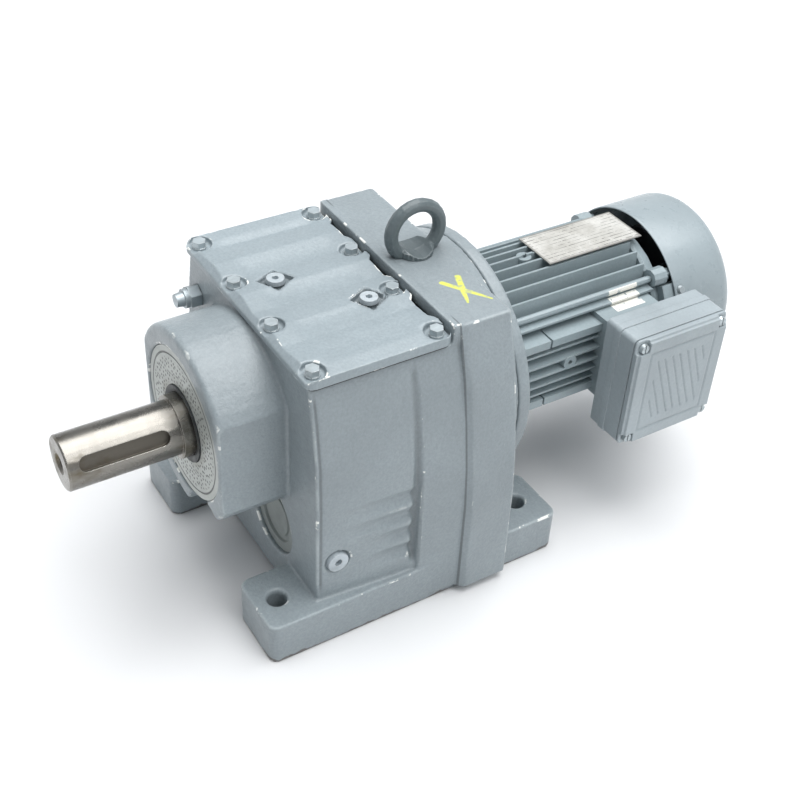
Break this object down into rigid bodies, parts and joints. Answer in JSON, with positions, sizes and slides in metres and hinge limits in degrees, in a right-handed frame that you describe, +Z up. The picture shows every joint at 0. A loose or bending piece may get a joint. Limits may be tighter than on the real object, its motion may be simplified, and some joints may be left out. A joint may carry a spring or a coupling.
{
  "type": "inline gear reducer",
  "caption": "Foot-mounted inline gear reducer with a finned electric motor, keyed solid output shaft, bolted top cover, lifting eye and side terminal box.",
  "frame": {"origin": "on the floor plane under the output shaft axis, midway between the front and rear foot bolts", "axes": "+Z up, +Y along the shaft axis towards the motor, so the output shaft points along -Y; the terminal box is on +X"},
  "size_m": [0.304, 0.674, 0.3415],
  "materials": {
    "case_paint": "blue-grey semi-gloss machine paint on cast iron",
    "motor_paint": "blue-grey semi-gloss paint on cast aluminium",
    "guard_paint": "blue-grey semi-gloss paint on sheet steel",
    "box_paint": "blue-grey semi-gloss paint on cast aluminium",
    "painted_plug": "blue-grey paint over a steel plug",
    "zinc_fastener": "bright zinc-plated steel",
    "eyebolt_paint": "dark grey-green paint on forged steel",
    "gasket": "dark pressed gasket",
    "cap_rubber": "rubber-covered closing cap with a film of grey paint",
    "shaft_steel": "bright turned steel with light stains",
    "gear_steel": "ground and oiled steel",
    "seal_plate": "pale grey seal cover, fine grained",
    "seal_rubber": "black nitrile rubber",
    "copper": "varnished copper windings",
    "black_plastic": "black glass-filled plastic",
    "plate_aluminium": "bright etched plate, blank"
  },
  "bodies": {
    "housing": {"gear_case": "case_paint", "gear_case_cover": "case_paint", "cover_gasket": "gasket", "cover_bolt_1": "zinc_fastener", "cover_bolt_2": "zinc_fastener", "cover_bolt_3": "zinc_fastener", "cover_bolt_4": "zinc_fastener", "cover_bolt_5": "zinc_fastener", "cover_bolt_6": "zinc_fastener", "cover_bolt_7": "zinc_fastener", "cover_bolt_8": "zinc_fastener", "cover_plug_1": "zinc_fastener", "cover_plug_2": "zinc_fastener", "side_oil_plug": "painted_plug", "breather_valve": "zinc_fastener", "closing_cap": "cap_rubber", "lifting_eyebolt": "eyebolt_paint", "output_seal_plate": "seal_plate", "output_shaft_seal": "seal_rubber", "output_bearing_front": "gear_steel", "output_bearing_rear": "gear_steel", "intermediate_2_bearing_front": "gear_steel", "intermediate_2_bearing_rear": "gear_steel", "intermediate_1_bearing_front": "gear_steel", "intermediate_1_bearing_rear": "gear_steel", "motor_flange": "case_paint", "motor_shaft_seal": "seal_rubber", "motor_bearing_front": "gear_steel", "stator_housing": "motor_paint", "stator_core": "gear_steel", "stator_winding": "copper", "motor_bearing_rear": "gear_steel", "rear_endshield": "motor_paint", "tie_rod_1": "zinc_fastener", "tie_rod_2": "zinc_fastener", "tie_rod_3": "zinc_fastener", "tie_rod_4": "zinc_fastener", "fan_guard": "guard_paint", "fan_guard_screw_1": "zinc_fastener", "fan_guard_screw_2": "zinc_fastener", "fan_guard_screw_3": "zinc_fastener", "fan_guard_screw_4": "zinc_fastener", "terminal_box": "box_paint", "terminal_box_cover": "box_paint", "terminal_box_screw_1": "zinc_fastener", "terminal_box_screw_2": "zinc_fastener", "terminal_box_screw_3": "zinc_fastener", "terminal_box_screw_4": "zinc_fastener", "cable_entry_plug": "black_plastic", "rating_plate": "plate_aluminium"},
    "output_line": {"output_shaft": "shaft_steel", "output_gear": "gear_steel"},
    "intermediate_line_2": {"intermediate_shaft_2": "gear_steel", "intermediate_gear_2": "gear_steel"},
    "intermediate_line_1": {"intermediate_shaft_1": "gear_steel", "intermediate_gear_1": "gear_steel"},
    "rotor_line": {"motor_pinion": "gear_steel", "rotor_shaft": "gear_steel", "rotor_core": "gear_steel", "cooling_fan": "black_plastic"}
  },
  "joints": [
    {"name": "output_spin", "type": "hinge", "parent": "housing", "child": "output_line", "pos_m": [0, 0, 0.18], "axis": [0, 1, 0], "continuous": true},
    {"name": "intermediate_2_spin", "type": "hinge", "parent": "housing", "child": "intermediate_line_2", "pos_m": [0.042, 0, 0.07617], "axis": [0, 1, 0], "continuous": true},
    {"name": "intermediate_1_spin", "type": "hinge", "parent": "housing", "child": "intermediate_line_1", "pos_m": [-0.03736, 0, 0.0987], "axis": [0, 1, 0], "continuous": true},
    {"name": "rotor_spin", "type": "hinge", "parent": "housing", "child": "rotor_line", "pos_m": [0, 0, 0.1666], "axis": [0, 1, 0], "continuous": true}
  ],
  "couplings": [
    {"joint": "intermediate_2_spin", "follows": "output_spin", "ratio": -3.3077},
    {"joint": "intermediate_1_spin", "follows": "output_spin", "ratio": 6.7991},
    {"joint": "rotor_spin", "follows": "output_spin", "ratio": -23.311}
  ]
}
